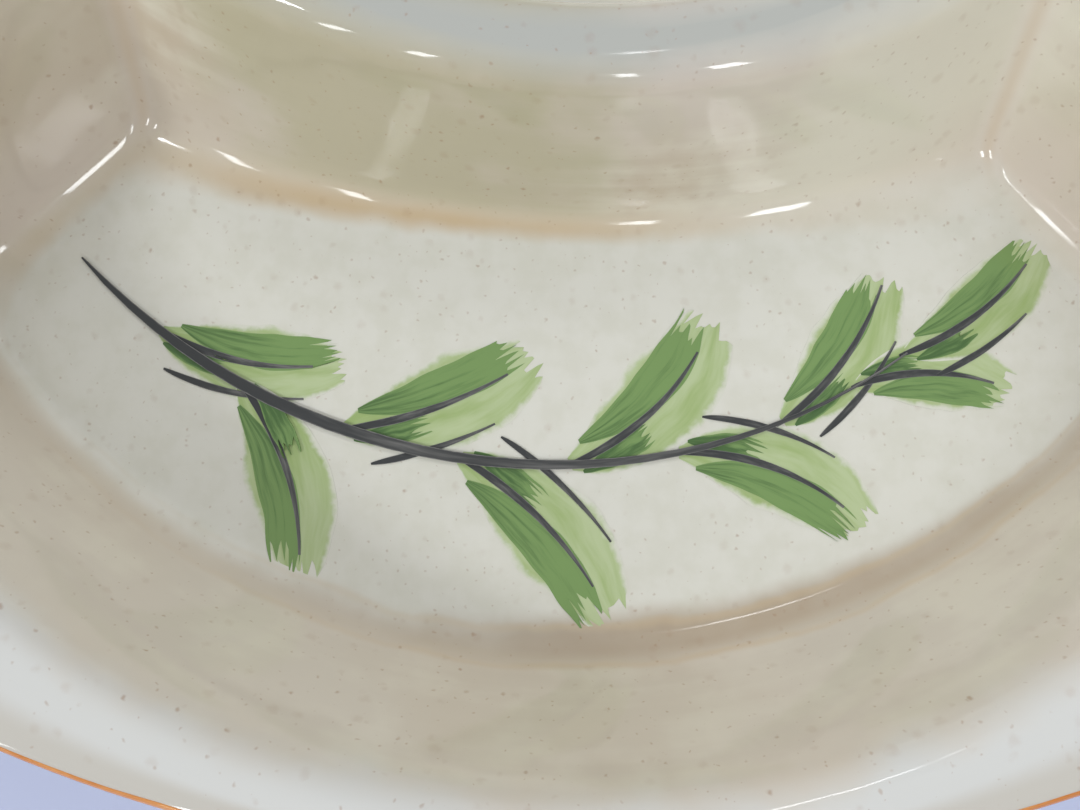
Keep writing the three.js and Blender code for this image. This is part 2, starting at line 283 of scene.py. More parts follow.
def rim_corners(s, rim, crest):
    """Control points of the two curves of the rolled rim, from its top round to its lower side."""
    half = s.rim_thickness / 2
    return (complex(rim - half, crest), complex(rim, crest), complex(rim, crest - half),
            complex(rim, crest - 2 * half), complex(rim - half, crest - 2 * half))


def outside_radius(s, angle, z):
    """Distance from the axis to the lobed outside of the dish, under the flange."""
    share = (z - s.floor_height) / (s.crest_height - s.floor_height)
    radius = s.lobe_radius + s.lobe_wall
    lobe_reach = s.well_radius + s.ring_crest + s.inner_flare + s.floor_length
    centre = lobe_reach + share * s.lobe_flare + s.lobe_wall - radius
    notch = abs(meet_diagonal(0.0, centre, radius + s.notch_radius))
    off_axis = (angle % QUARTER) - (QUARTER if angle % QUARTER > HALF_ANGLE else 0.0)
    towards = cmath.phase(cmath.rect(notch, HALF_ANGLE) - centre)
    touch = cmath.phase(centre + cmath.rect(radius, towards))
    if abs(off_axis) <= touch:
        return centre * math.cos(off_axis) + math.sqrt(radius ** 2 - (centre * math.sin(off_axis)) ** 2)
    off_notch = HALF_ANGLE - abs(off_axis)
    return notch * math.cos(off_notch) - math.sqrt(s.notch_radius ** 2 - (notch * math.sin(off_notch)) ** 2)


# Modelling


def begin(name, add_primitive, **settings):
    """A new object from a primitive, alone selected and in edit mode."""
    if bpy.context.object and bpy.context.object.mode != "OBJECT":
        bpy.ops.object.mode_set(mode="OBJECT")
    bpy.ops.object.select_all(action="DESELECT")
    add_primitive(**settings)
    piece = bpy.context.object
    piece.name = name
    piece.data.name = name
    bpy.ops.object.mode_set(mode="EDIT")
    return piece


def place(position, section):
    """Moves each selected vertex and marks how far along the section it lies, in millimetres."""
    mesh = bmesh.from_edit_mesh(bpy.context.object.data)
    order = mesh.verts.layers.int["order"]
    mark = mesh.verts.layers.float["section"]
    for vertex in mesh.verts:
        if vertex.select:
            vertex.co = position(vertex[order], cmath.phase(complex(vertex.co.x, vertex.co.y)))
            vertex[mark] = section
    bmesh.update_edit_mesh(bpy.context.object.data)


def extrude(position, section):
    bpy.ops.mesh.extrude_edges_move()
    place(position, section)


def number_vertices(valleys=None):
    """Numbers the vertices of a fresh circle, so that every ring extruded from it keeps the count."""
    mesh = bmesh.from_edit_mesh(bpy.context.object.data)
    order = mesh.verts.layers.int.new("order")
    mesh.verts.layers.float.new("section")
    valley = mesh.verts.layers.float.new("valley")
    for i, vertex in enumerate(mesh.verts):
        vertex[order] = i
        vertex[valley] = valleys[i] if valleys else 0.0


def valley_shares(count):
    """How near each point of the outline is to the valley between inner wall and divider."""
    half = CORNER_STEPS / 2
    right = [1.0 - abs(i - half) / half for i in range(CORNER_STEPS + 1)]
    middle = CORNER_STEPS + DIVIDER_STEPS + TIP_STEPS + LOBE_STEPS + TIP_STEPS + DIVIDER_STEPS
    shares = right + [0.0] * (middle - len(right)) + right
    return shares + [0.0] * (count - len(shares))


def select_edge_ring(near, radius):
    """Selects the open edge nearer to the axis than the given radius, or the one beyond it."""
    bpy.ops.mesh.select_all(action="DESELECT")
    mesh = bmesh.from_edit_mesh(bpy.context.object.data)
    for edge in mesh.edges:
        if edge.is_boundary:
            first = edge.verts[0].co
            edge.select_set((math.hypot(first.x, first.y) < radius) == near)
    mesh.select_flush_mode()
    bmesh.update_edit_mesh(bpy.context.object.data)


def on_outline(points, z):
    return lambda order, angle: (points[order].real, points[order].imag, z)


def turned(radius, z, angle):
    return radius * math.cos(angle), radius * math.sin(angle), z


def on_circle(point):
    return lambda order, angle: turned(point.real, point.imag, angle)


def finish_piece(piece, material, slot, *nodes):
    """Closes a piece: merged, facing outwards, smooth, glazed, riding on the dish."""
    bpy.ops.mesh.select_all(action="SELECT")
    bpy.ops.mesh.remove_doubles(threshold=MERGE_DISTANCE)
    bpy.ops.mesh.normals_make_consistent(inside=False)
    bpy.ops.object.mode_set(mode="OBJECT")
    bpy.ops.object.shade_smooth()
    piece.data.attributes.remove(piece.data.attributes["order"])
    piece.data.materials.append(material)
    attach(piece, BODY)
    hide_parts(*nodes)


def running_lengths(points, start):
    """Length along a section up to each of its points, in millimetres."""
    lengths = [start]
    for a, b in zip(points, points[1:]):
        lengths.append(lengths[-1] + abs(b - a) / MM)
    return lengths


def model_compartment(s):
    """A quarter of the upper side: floor, crease, walls, rolled shoulder and crest, ring by ring."""
    height = s.crest_height - s.floor_height
    ring_outer = s.well_radius + s.ring_crest
    inner_reach = ring_outer + s.inner_flare
    lobe_reach = inner_reach + s.floor_length
    crest_half = s.divider_crest / 2
    floor_half = crest_half + s.divider_flare
    floor = compartment_outline(s, inner_reach, s.inner_crease_radius, floor_half, lobe_reach)
    crest = compartment_outline(s, ring_outer, ring_outer, crest_half, lobe_reach + s.lobe_flare)
    cell = cell_outline(s, crest)

    def blend(share):
        return [a + (b - a) * share for a, b in zip(floor, crest)]

    flare = s.lobe_flare
    crease = bent(complex(-s.crease_radius, 0), 0j,
                  complex(flare * s.crease_radius / height, s.crease_radius), FILLET_STEPS)
    high = height - s.shoulder_radius
    shoulder = bent(complex(flare * high / height, high), complex(flare, height),
                    complex(flare + s.shoulder_radius, height), FILLET_STEPS)
    section = crease + straight(crease[-1], shoulder[0], WALL_STEPS)[1:-1] + shoulder
    marks = running_lengths(section, -s.crease_radius / MM)

    piece = begin("dish_body", bpy.ops.mesh.primitive_circle_add, vertices=len(floor),
                  radius=s.floor_length / 2, location=(0, 0, 0))
    number_vertices(valley_shares(len(floor)))
    bpy.ops.mesh.select_all(action="SELECT")
    toe = -s.crease_radius / flare
    start = blend(toe - TOE_RINGS[0])
    middle = 1j * (inner_reach + lobe_reach) / 2
    place(on_outline(start, s.floor_height), (toe - TOE_RINGS[0]) * flare / MM)
    for scale in FLOOR_SCALES:
        extrude(on_outline([middle + (p - middle) * scale for p in start], s.floor_height), FLOOR_MARK)
    bpy.ops.mesh.merge(type="CENTER")
    select_edge_ring(True, 1.0)
    for step in TOE_RINGS[1:]:
        extrude(on_outline(blend(toe - step), s.floor_height), (toe - step) * flare / MM)
    for point, mark in zip(section, marks):
        extrude(on_outline(blend(point.real / flare), s.floor_height + point.imag), mark)
    edge = blend(section[-1].real / flare)
    for i in range(1, CREST_STEPS + 1):
        share = i / CREST_STEPS
        ring = [a + (b - a) * share for a, b in zip(edge, cell)]
        extrude(on_outline(ring, s.crest_height), marks[-1] + (CREST_MARK - marks[-1]) * share)
    return piece


def model_well(s):
    """The well, from the middle of the ring's crest down to a closed floor."""
    height = s.crest_height - s.floor_height
    slope = s.well_flare / height
    floor_radius = s.well_radius - s.well_flare
    shoulder = bent(complex(s.well_radius + s.shoulder_radius, s.crest_height),
                    complex(s.well_radius, s.crest_height),
                    complex(s.well_radius - slope * s.shoulder_radius, s.crest_height - s.shoulder_radius),
                    FILLET_STEPS)
    crease = bent(complex(floor_radius + slope * s.crease_radius, s.floor_height + s.crease_radius),
                  complex(floor_radius, s.floor_height),
                  complex(floor_radius - s.crease_radius, s.floor_height), FILLET_STEPS)
    inset = [complex(floor_radius - s.crease_radius - step, s.floor_height) for step in WELL_RINGS]
    section = shoulder + straight(shoulder[-1], crease[0], WALL_STEPS)[1:-1] + crease + inset
    total = running_lengths(shoulder + crease, 0.0)[-1]
    marks = [total - s.crease_radius / MM - run for run in running_lengths(section, 0.0)]
    for point, mark in zip(section, marks):
        extrude(on_circle(point), mark)
    bpy.ops.mesh.merge(type="CENTER")


def model_outside(s):
    """Rolled rim, underside of the flange, lobed wall, rounded lower edge and flat underside."""
    corners = rim_corners(s, s.rim_radius - UNDER_ENAMEL, s.crest_height)
    for point in bent(*corners[:3], FILLET_STEPS)[1:] + bent(*corners[2:], FILLET_STEPS)[1:]:
        extrude(on_circle(point), RIM_MARK)

    under = s.crest_height - s.flange_thickness
    wall_high = under - FLANGE_FILLET
    wall_low = s.foot_height + s.plate_edge
    edge = corners[-1]

    def at_wall(z):
        return lambda order, angle: turned(outside_radius(s, angle, z), z, angle)

    def under_flange(share):
        """From the rim's lower edge to where the fillet of the wall begins."""
        def position(order, angle):
            wall = outside_radius(s, angle, under)
            reach = wall + min(FLANGE_FILLET, FILLET_SHARE * (edge.real - wall))
            radius = edge.real + (reach - edge.real) * share
            rise = max(0.0, (radius - (edge.real - RIM_TAPER)) / RIM_TAPER)
            return turned(radius, under + (edge.imag - under) * rise, angle)
        return position

    def into_wall(share):
        def position(order, angle):
            wall = outside_radius(s, angle, under)
            x, y, z = under_flange(1.0)(order, angle)
            start = complex(math.hypot(x, y), z)
            end = complex(outside_radius(s, angle, wall_high), wall_high)
            point = bezier((start, complex(wall, under), end), share)
            return turned(point.real, point.imag, angle)
        return position

    for i in range(1, UNDER_STEPS + 1):
        extrude(under_flange(i / UNDER_STEPS), OUTSIDE_MARK)
    for i in range(1, FILLET_STEPS + 1):
        extrude(into_wall(i / FILLET_STEPS), OUTSIDE_MARK)
    for i in range(1, WALL_STEPS + 1):
        extrude(at_wall(wall_high + (wall_low - wall_high) * i / WALL_STEPS), OUTSIDE_MARK)

    def lower_edge(share):
        def position(order, angle):
            start = complex(outside_radius(s, angle, wall_low), wall_low)
            control = complex(outside_radius(s, angle, s.foot_height), s.foot_height)
            point = bezier((start, control, control - s.plate_edge), share)
            return turned(point.real, point.imag, angle)
        return position

    for i in range(1, FILLET_STEPS + 1):
        extrude(lower_edge(i / FILLET_STEPS), OUTSIDE_MARK)
    for share in EDGE_TO_FOOT:
        def underside(order, angle, share=share):
            start = outside_radius(s, angle, s.foot_height) - s.plate_edge
            return turned(start + (s.foot_radius - start) * share, s.foot_height, angle)
        extrude(underside, OUTSIDE_MARK)
    for share in INSIDE_FOOT:
        extrude(on_circle(complex(s.foot_radius * share, s.foot_height)), OUTSIDE_MARK)
    bpy.ops.mesh.merge(type="CENTER")


def model_turned(name, profile):
    """A ring turned about the axis from a closed profile: one function of the angle for each step."""
    piece = begin(name, bpy.ops.mesh.primitive_circle_add, vertices=RING_VERTICES, radius=0.1)
    number_vertices()
    bpy.ops.mesh.select_all(action="SELECT")
    place(profile[0], 0.0)
    for position in [*profile[1:], profile[0]]:
        extrude(position, 0.0)
    return piece


# Materials


SMOOTH = {"interpolation_type": "SMOOTHSTEP"}
BLEND = {"data_type": "RGBA", "output": 2}
PLUS = {"operation": "ADD"}
MINUS = {"operation": "SUBTRACT"}
TIMES = {"operation": "MULTIPLY"}
TIMES_PLUS = {"operation": "MULTIPLY_ADD"}
GLAZE_IOR = 1.52

# Most of a noise lies in this span
NOISE_MIDDLE = (0.3, 0.7)

# Soft changes in the glaze. The first three go by the distance from the axis in metres, the others by the
# way along the section in millimetres.
RING_TO_DIVIDERS = (0.088, 0.112)
DIVIDERS_TO_LOBES = (0.122, 0.142)
LOBES_TO_FLANGE = (0.155, 0.162)
WASH_START = (-3.0, 2.0)
WASH_END = (23.5, 31.5)
FLAT_FLANGE = (33.5, 36.0)
DIVIDER_FOOT = (18.0, 3.0)
NARROW_POOL_START = (-5.6, -2.2)
NARROW_POOL_END = (-2.4, 2.0)
WIDE_POOL_START = (-5.6, -1.2)
WIDE_POOL_END = (-1.0, 3.2)
DRY_EDGES = (-3.6, 2.0)

# Where the brush was fullest on the ring and on the lobes, in degrees right of a compartment's middle
FULLEST = (-14.0, 12.0)

# Bristle lines: millimetres from one to the next, and how many follow each other over a radian
BRISTLE_GAP = 2.5
BRISTLE_RUNS = 2.5

SPECKS = (
    # cell and size in millimetres, strength
    (1.4, 0.25, 0.36),
    (4.8, 0.42, 0.48),
    (3.1, 0.8, 0.13),
)


def connect(node, inputs):
    """Sets the inputs of a node, in their order or by name: a socket is linked, a value is set."""
    for key, value in inputs.items() if isinstance(inputs, dict) else enumerate(inputs):
        if isinstance(value, bpy.types.NodeSocket):
            node.id_data.links.new(value, node.inputs[key])
        else:
            node.inputs[key].default_value = value


def add_node(tree, kind, inputs, output=0, **settings):
    """Adds a node with its settings and links, and returns one output."""
    node = tree.nodes.new("ShaderNode" + kind)
    for name, value in settings.items():
        setattr(node, name, value)
    connect(node, inputs)
    return node.outputs[output]


def new_material(name):
    """A new material, the function that adds nodes to it, and its shader."""
    material = bpy.data.materials.new(name)
    material.use_nodes = True
    tree = material.node_tree
    return material, functools.partial(add_node, tree), tree.nodes["Principled BSDF"]


def opaque(value):
    return (*value, 1.0)


def brush_loads(add, spot):
    """How full the brush was on the ring and on the lobes, from -1 to 1: it was loaded once for each
    compartment, and ran dry on the way to the next."""
    round_dish = add("TexGradient", (spot,), "Fac", gradient_type="RADIAL")
    loads = []
    for fullest in FULLEST:
        phase = math.pi / 2 - len(SIDES) * math.radians(fullest)
        swing = add("Math", (round_dish, 2 * math.pi * len(SIDES), phase), **TIMES_PLUS)
        loads.append(add("Math", (swing,), operation="SINE"))
    return loads


def bristle_lines(add, level, section):
    """Lines that the bristles left along the walls, some 35 mm long."""
    heading = add("VectorMath", (level,), operation="NORMALIZE")
    heading = add("VectorMath", (heading, (BRISTLE_RUNS, BRISTLE_RUNS, 0.0)), **TIMES)
    climb = add("CombineXYZ", {"Z": section})
    lines = add("VectorMath", (climb, (1.0, 1.0, 1 / BRISTLE_GAP), heading), **TIMES_PLUS)
    lines = add("TexNoise", {"Vector": lines, "Scale": 1.0, "Detail": 2.0}, "Fac")
    return add("MapRange", (lines, *NOISE_MIDDLE, -0.06, 0.06))


def iron_specks(add, spot):
    """How strongly each kind of speck shows: many small ones, fewer large ones and blurred ones, none
    quite round."""
    warp = add("TexNoise", {"Vector": spot, "Scale": 1 / (0.9 * MM), "Detail": 1.0}, "Color")
    nudged = add("VectorMath", (warp, (0.8 * MM,) * 3, spot), **TIMES_PLUS)
    fades = []
    for cell, size, strength in SPECKS:
        dots = add("TexVoronoi", {"Vector": nudged, "Scale": 1 / (cell * MM)}, "Distance")
        chance = add("SeparateXYZ", (dots.node.outputs["Color"],), "X")
        reach = add("MapRange", (chance, 0.0, 1.0, 0.3 * size / cell, 1.4 * size / cell))
        reach = add("Math", (dots, reach), operation="DIVIDE")
        fades.append(add("MapRange", (reach, 0.15, 1.0, strength, 0.0), **SMOOTH))
    return fades


def speckled_glaze(c):
    """Pressed stoneware under a clear gloss glaze. The body shows iron specks, a tan wash is brushed
    round the walls and pools in the creases, and the crests and the flange stay cool white. Painted
    shade darkens the ring's crest to grey, the wash on the left of the dish and the wide outer crease band."""
    material, add, shader = new_material("speckled_stoneware_glaze")
    spot = add("TexCoord", (), "Object")
    section = add("Attribute", (), "Fac", attribute_name="section")
    valley = add("Attribute", (), "Fac", attribute_name="valley")
    level = add("VectorMath", (spot, (1.0, 1.0, 0.0)), **TIMES)
    radius = add("VectorMath", (level,), "Value", operation="LENGTH")
    outward, wide, rimward = [
        add("MapRange", (radius, *change), **SMOOTH)
        for change in (RING_TO_DIVIDERS, DIVIDERS_TO_LOBES, LOBES_TO_FLANGE)]
    inward = add("Math", (1.0, outward), **MINUS)
    bars = add("Math", (outward, wide), **MINUS, use_clamp=True)
    ring_load, lobe_load = brush_loads(add, spot)
    lines = bristle_lines(add, level, section)

    # clouds in the wash: 45 mm across where the brush was recharged, 14 mm where it lay thin, 60 mm where
    # it fired pink; then a 4 mm mottle in the body and 8 mm ripples in the glaze
    shifted = add("VectorMath", (spot, (0.37, 0.21, 0.0)), **PLUS)
    clouds = ((spot, 45, 2.0), (spot, 14, 3.0), (shifted, 60, 1.0), (spot, 4, 3.0), (spot, 8, 1.0))
    patch, drift, rosy, mottle, ripple = [
        add("TexNoise", {"Vector": at, "Scale": 1 / (size * MM), "Detail": detail}, "Fac")
        for at, size, detail in clouds]

    # the edges of the wash waver by a few millimetres, less on the ring, where the wash reaches 2 mm higher
    sway = add("MapRange", (drift, 0.0, 1.0, -5.0, 5.0))
    slight = add("MapRange", (drift, 0.0, 1.0, -2.0, 2.0))
    swaying = add("Math", (section, sway), **PLUS)
    swaying_little = add("Math", (section, slight), **PLUS)
    swaying = add("Mix", {0: outward, 2: swaying_little, 3: swaying})
    swaying = add("Math", (inward, -2.0, swaying), **TIMES_PLUS)

    # painted shade: the wash is made richer and darker on the left of the dish and thinner and paler on the
    # right, a shading across the dish painted into the colour
    sideways = add("SeparateXYZ", (spot,), "X")
    painted_left_shade = add("MapRange", (sideways, -0.1, 0.1, 0.06, -0.06))
    calm = add("MapRange", (outward, 0.0, 1.0, 1.0, 0.4))
    fuller_and_shaded = add("Math", (patch, painted_left_shade), **PLUS)
    rich_and_shaded = add("MapRange", (fuller_and_shaded, 0.42, 0.68), **SMOOTH)
    rich_and_shaded = add("Math", (rich_and_shaded, calm), **TIMES)
    drier_and_lit = add("Math", (drift, painted_left_shade), **MINUS)
    drier_and_lit = add("Math", (drier_and_lit, lines), **PLUS)
    drier_and_lit = add("Math", (mottle, 0.25, drier_and_lit), **TIMES_PLUS)
    thin = add("MapRange", (drier_and_lit, 0.54, 0.84, 0.0, 0.8), **SMOOTH)
    thin = add("Math", (thin, calm), **TIMES)
    pink = add("MapRange", (rosy, 0.5, 0.68, 0.0, 0.8), **SMOOTH)
    layers = [(rich_and_shaded, c.wash_warm), (thin, c.wash_thin), (pink, c.blush)]

    # on the ring the wash is full or thin with the load of the brush
    uneven = add("MapRange", (drift, *NOISE_MIDDLE, -0.3, 0.3))
    uneven = add("Math", (uneven, ring_load), **PLUS)
    uneven = add("Math", (uneven, lines), **MINUS)
    for start, end, tone in ((0.0, 0.9, c.wash_full), (-0.1, -1.0, c.wash_thin)):
        share = add("MapRange", (uneven, start, end, 0.0, 0.85), **SMOOTH)
        layers.append((add("Math", (share, inward), **TIMES), tone))

    # the dividers are warmer and their feet pinker, and wash ran into the valleys at the inner corners
    tan = add("Math", (bars, 0.8), **TIMES)
    foot = add("MapRange", (section, *DIVIDER_FOOT, 0.0, 0.8), **SMOOTH)
    foot = add("Math", (foot, bars), **TIMES)
    layers += [(tan, c.wash_warm), (foot, c.blush)]
    for start, most, tone in ((0.0, 0.5, c.blush), (0.5, 0.3, c.crease)):
        layers.append((add("MapRange", (valley, start, 1.0, 0.0, most), **SMOOTH), tone))
    wash = opaque(c.wash)
    for share, tone in layers:
        wash = add("Mix", {0: share, 6: wash, 7: opaque(tone)}, **BLEND)

    # the wash lies between the floor and the white of shoulder, crest and flange
    dull = add("MapRange", (mottle, 0.35, 0.7), **SMOOTH)
    lower = add("MapRange", (section, *WASH_START), **SMOOTH)
    upper = add("MapRange", (swaying, *WASH_END), **SMOOTH)
    flat = add("MapRange", (section, *FLAT_FLANGE), **SMOOTH)
    ledge = add("Math", (flat, rimward), **TIMES)
    ledge = add("Mix", {0: ledge, 6: opaque(c.cool), 7: opaque(c.flange)}, **BLEND)
    # painted shade: on the ring the white gives way to the darker grey of the crest
    white = add("Mix", {0: outward, 6: opaque(c.crest), 7: ledge}, **BLEND)

    # pooled wash: a narrow line along the inner creases; along the outer one a wide band of pooled wash,
    # darkened with painted shade for the hollow of the crease
    pool = add("Mix", {0: wide, 6: opaque(c.crease), 7: opaque(c.wide_pool_and_shade)}, **BLEND)
    spread = add("Math", (lobe_load, 1.5, swaying_little), **TIMES_PLUS)
    near = add("MapRange", (swaying_little, *NARROW_POOL_START), **SMOOTH)
    far = add("MapRange", (spread, *WIDE_POOL_START), **SMOOTH)
    start = add("Mix", {0: wide, 2: near, 3: far})
    near = add("MapRange", (section, *NARROW_POOL_END, 1.0, 0.0), **SMOOTH)
    far = add("MapRange", (section, *WIDE_POOL_END, 1.0, 0.0), **SMOOTH)
    end = add("Mix", {0: wide, 2: near, 3: far})
    band = add("Math", (start, end), **TIMES)
    load = add("MapRange", (drift, 0.25, 0.65, 0.40, 0.58), **SMOOTH)
    brush = add("Mix", {0: wide, 2: ring_load, 3: lobe_load})
    load = add("Math", (brush, 0.36, load), **TIMES_PLUS, use_clamp=True)
    band = add("Math", (band, load), **TIMES)
    coats = [(dull, opaque(c.cream_dull)), (lower, wash), (upper, white), (band, pool)]

    # the wide pool dried to a faint line along either edge
    for edge in DRY_EDGES:
        off = add("Math", (swaying_little, edge), **MINUS)
        off = add("Math", (off,), operation="ABSOLUTE")
        dry = add("MapRange", (off, 0.0, 1.0, 0.4, 0.0), **SMOOTH)
        for share in (load, wide):
            dry = add("Math", (dry, share), **TIMES)
        coats.append((dry, opaque(c.crease)))
    coats += [(fade, opaque(c.speck)) for fade in iron_specks(add, spot)]
    body = opaque(c.cream)
    for share, tone in coats:
        body = add("Mix", {0: share, 6: body, 7: tone}, **BLEND)

    gloss = add("MapRange", (drift, *NOISE_MIDDLE, 0.05, 0.09))
    bump = add("Bump", {"Height": ripple, "Strength": 0.2, "Distance": 0.4 * MM}, "Normal")
    connect(shader, {"Base Color": body, "Roughness": gloss, "IOR": GLAZE_IOR, "Normal": bump})
    return material


def brushed_paint(name, full, thin, under, low, high, along, across, fade):
    """Underglaze colour laid on with a loaded brush: bristle streaks run along each stroke, it thins
    towards the end, its edges bleed into what lies under it, and it is as glossy as the glaze on top.
    low and high are where it goes from full to thin, along and across the grain of the streaks, and fade
    is how much it dries on the way."""
    material, add, shader = new_material(name)
    spot = add("TexCoord", (), "Object")
    lane = add("TexCoord", (), "UV")
    spread = add("VectorMath", (spot, (25.0, 25.0, 25.0)), **TIMES)
    bristles = add("VectorMath", (lane, (along, across, 0.0), spread), **TIMES_PLUS)
    streak = add("TexNoise", {"Vector": bristles, "Scale": 1.0, "Detail": 3.0, "Roughness": 0.6}, "Fac")
    run = add("SeparateXYZ", (lane,), "X")
    drying = add("Math", (run, fade, streak), **TIMES_PLUS)
    share = add("MapRange", (drying, low, high), **SMOOTH)
    tone = add("Mix", {0: share, 6: opaque(full), 7: opaque(thin)}, **BLEND)

    # the bleeding edge, 0 in the middle of a stroke and 0.5 at its sides, broken up by a 1.5 mm grain
    across_lane = add("SeparateXYZ", (lane,), "Y")
    off_middle = add("Math", (across_lane, 0.5), **MINUS)
    sideways = add("Math", (off_middle,), operation="ABSOLUTE")
    grain = add("TexNoise", {"Vector": spot, "Scale": 1 / (1.5 * MM), "Detail": 3.0}, "Fac")
    ragged = add("Math", (grain, 0.14, sideways), **TIMES_PLUS)
    bleed = add("MapRange", (ragged, 0.47, 0.57, 0.0, 0.9), **SMOOTH)
    tone = add("Mix", {0: bleed, 6: tone, 7: opaque(under)}, **BLEND)
    connect(shader, {"Base Color": tone, "Roughness": 0.07, "IOR": GLAZE_IOR})
    return material


def rim_enamel(c):
    """Orange enamel brushed round the rim while the dish turned: glossy, and paler where it ran thin."""
    material, add, shader = new_material("orange_enamel")
    spot = add("TexCoord", (), "Object")
    thin = add("TexNoise", {"Vector": spot, "Scale": 1 / (7 * MM), "Detail": 4.0}, "Fac")
    share = add("MapRange", (thin, 0.42, 0.68), **SMOOTH)
    tone = add("Mix", {0: share, 6: opaque(c.enamel), 7: opaque(c.enamel_thin)}, **BLEND)
    connect(shader, {"Base Color": tone, "Roughness": 0.08, "IOR": GLAZE_IOR})
    return material


def bare_clay(c):
    """Fired stoneware without glaze, sanded flat: matt, warm, with a fine sandy grain."""
    material, add, shader = new_material("bare_stoneware")
    spot = add("TexCoord", (), "Object")
    grain = add("TexNoise", {"Vector": spot, "Scale": 1 / (0.7 * MM), "Detail": 4.0}, "Fac")
    patch = add("TexNoise", {"Vector": spot, "Scale": 1 / (20 * MM), "Detail": 2.0}, "Fac")
    dark = [channel * 0.82 for channel in c.bisque]
    tone = add("Mix", {0: patch, 6: opaque(c.bisque), 7: opaque(dark)}, **BLEND)
    bump = add("Bump", {"Height": grain, "Strength": 0.35, "Distance": 0.3 * MM}, "Normal")
    connect(shader, {"Base Color": tone, "Roughness": 0.85, "Normal": bump})
    return material


# Painted sprigs, drawn in millimetres: right along the compartment, and outwards from the axis

STEM = (complex(-63, 103), complex(-30, 131), complex(18, 132), complex(50, 107))
LEAVES = (
    # place on the stem, side, turn from the stem in degrees, length, width
    (0.06, 1, 30, 27, 10.0),
    (0.17, -1, 40, 28, 10.5),
    (0.30, 1, 44, 30, 11.5),
    (0.44, -1, 36, 31, 11.5),
    (0.57, 1, 42, 31, 11.5),
    (0.70, -1, 34, 29, 10.5),
    (0.83, 1, 36, 26, 10.0),
    (0.93, -1, 34, 23, 9.0),
    (1.00, 1, 6, 25, 9.5),
)

# Heights of the paint: washes and stem above the floor, one step more for each leaf, and the other strokes
# of a leaf above its wash
WASH_LIFT = 0.05
STEM_LIFT = 0.185
LEAF_STEP = 0.004
HALF_LIFT = 0.04
DAB_LIFT = 0.045
VEIN_LIFT = 0.09
EDGE_LIFT = 0.092

# Share of a stroke after which its bristles begin to lift, waver of its sides as a share of its width, and
# a small step along a curve
BRISTLES_LIFT = 0.4
SIDE_WAVER = 0.06
STEP = 0.01


def brush_stroke(spine, width, lift, turn, paint, lanes, teeth=None, first=False):
    """One stroke on the compartment floor: a grid laid along a spine. width is a function of the share
    of its length; teeth are how far each lane of bristles stops short of the end."""
    sizes = bpy.context.scene.dish_sizes
    if not first:
        bpy.ops.mesh.select_all(action="DESELECT")
        bpy.ops.mesh.primitive_grid_add(
            x_subdivisions=STROKE_STEPS, y_subdivisions=lanes, size=1, calc_uvs=True)
    piece = bpy.context.object
    piece.active_material_index = paint
    bpy.ops.object.material_slot_assign()
    mesh = bmesh.from_edit_mesh(piece.data)
    for vertex in mesh.verts:
        if not vertex.select:
            continue
        share = vertex.co.x + 0.5
        lane = vertex.co.y + 0.5
        if teeth:
            end = teeth[round(lane * lanes)]
            late = min(1.0, max(0.0, (share - BRISTLES_LIFT) / (1 - BRISTLES_LIFT)))
            share -= (1 - end) * late * late
        point = spine(share)
        ahead = spine(share + STEP) - spine(share - STEP)
        side = ahead / abs(ahead) * 1j
        waver = SIDE_WAVER * noise.noise(Vector((share * 6, lane * 1.5, lift * 900)))
        flat = (point + side * width(share) * (lane - 0.5 + waver)) * MM
        spot = flat.conjugate() * cmath.rect(1.0, turn)
        vertex.co = (spot.real, spot.imag, sizes.floor_height + lift * MM)
    bmesh.update_edit_mesh(piece.data)


def swelling(broad, start, end):
    """Width of a loaded stroke: narrow where the brush lands, widest in the middle, open at the end."""
    def width(t):
        t = min(1.0, max(0.0, t))
        return broad * math.sin(math.pi * (start + (end - start) * t)) ** 0.8
    return width


def drawn(broad, thin):
    """Width of a liner stroke: pressed down early on, then lifted."""
    def width(t):
        t = min(1.0, max(0.0, t))
        return thin + (broad - thin) * math.sin(math.pi * t ** 0.6) ** 1.2
    return width


def beside(curve, start, end, offset):
    """A part of a curve, moved to its side."""
    def point(t):
        t = start + (end - start) * t
        step = curve(t + STEP) - curve(t - STEP)
        return curve(t) + step / abs(step) * 1j * offset
    return point


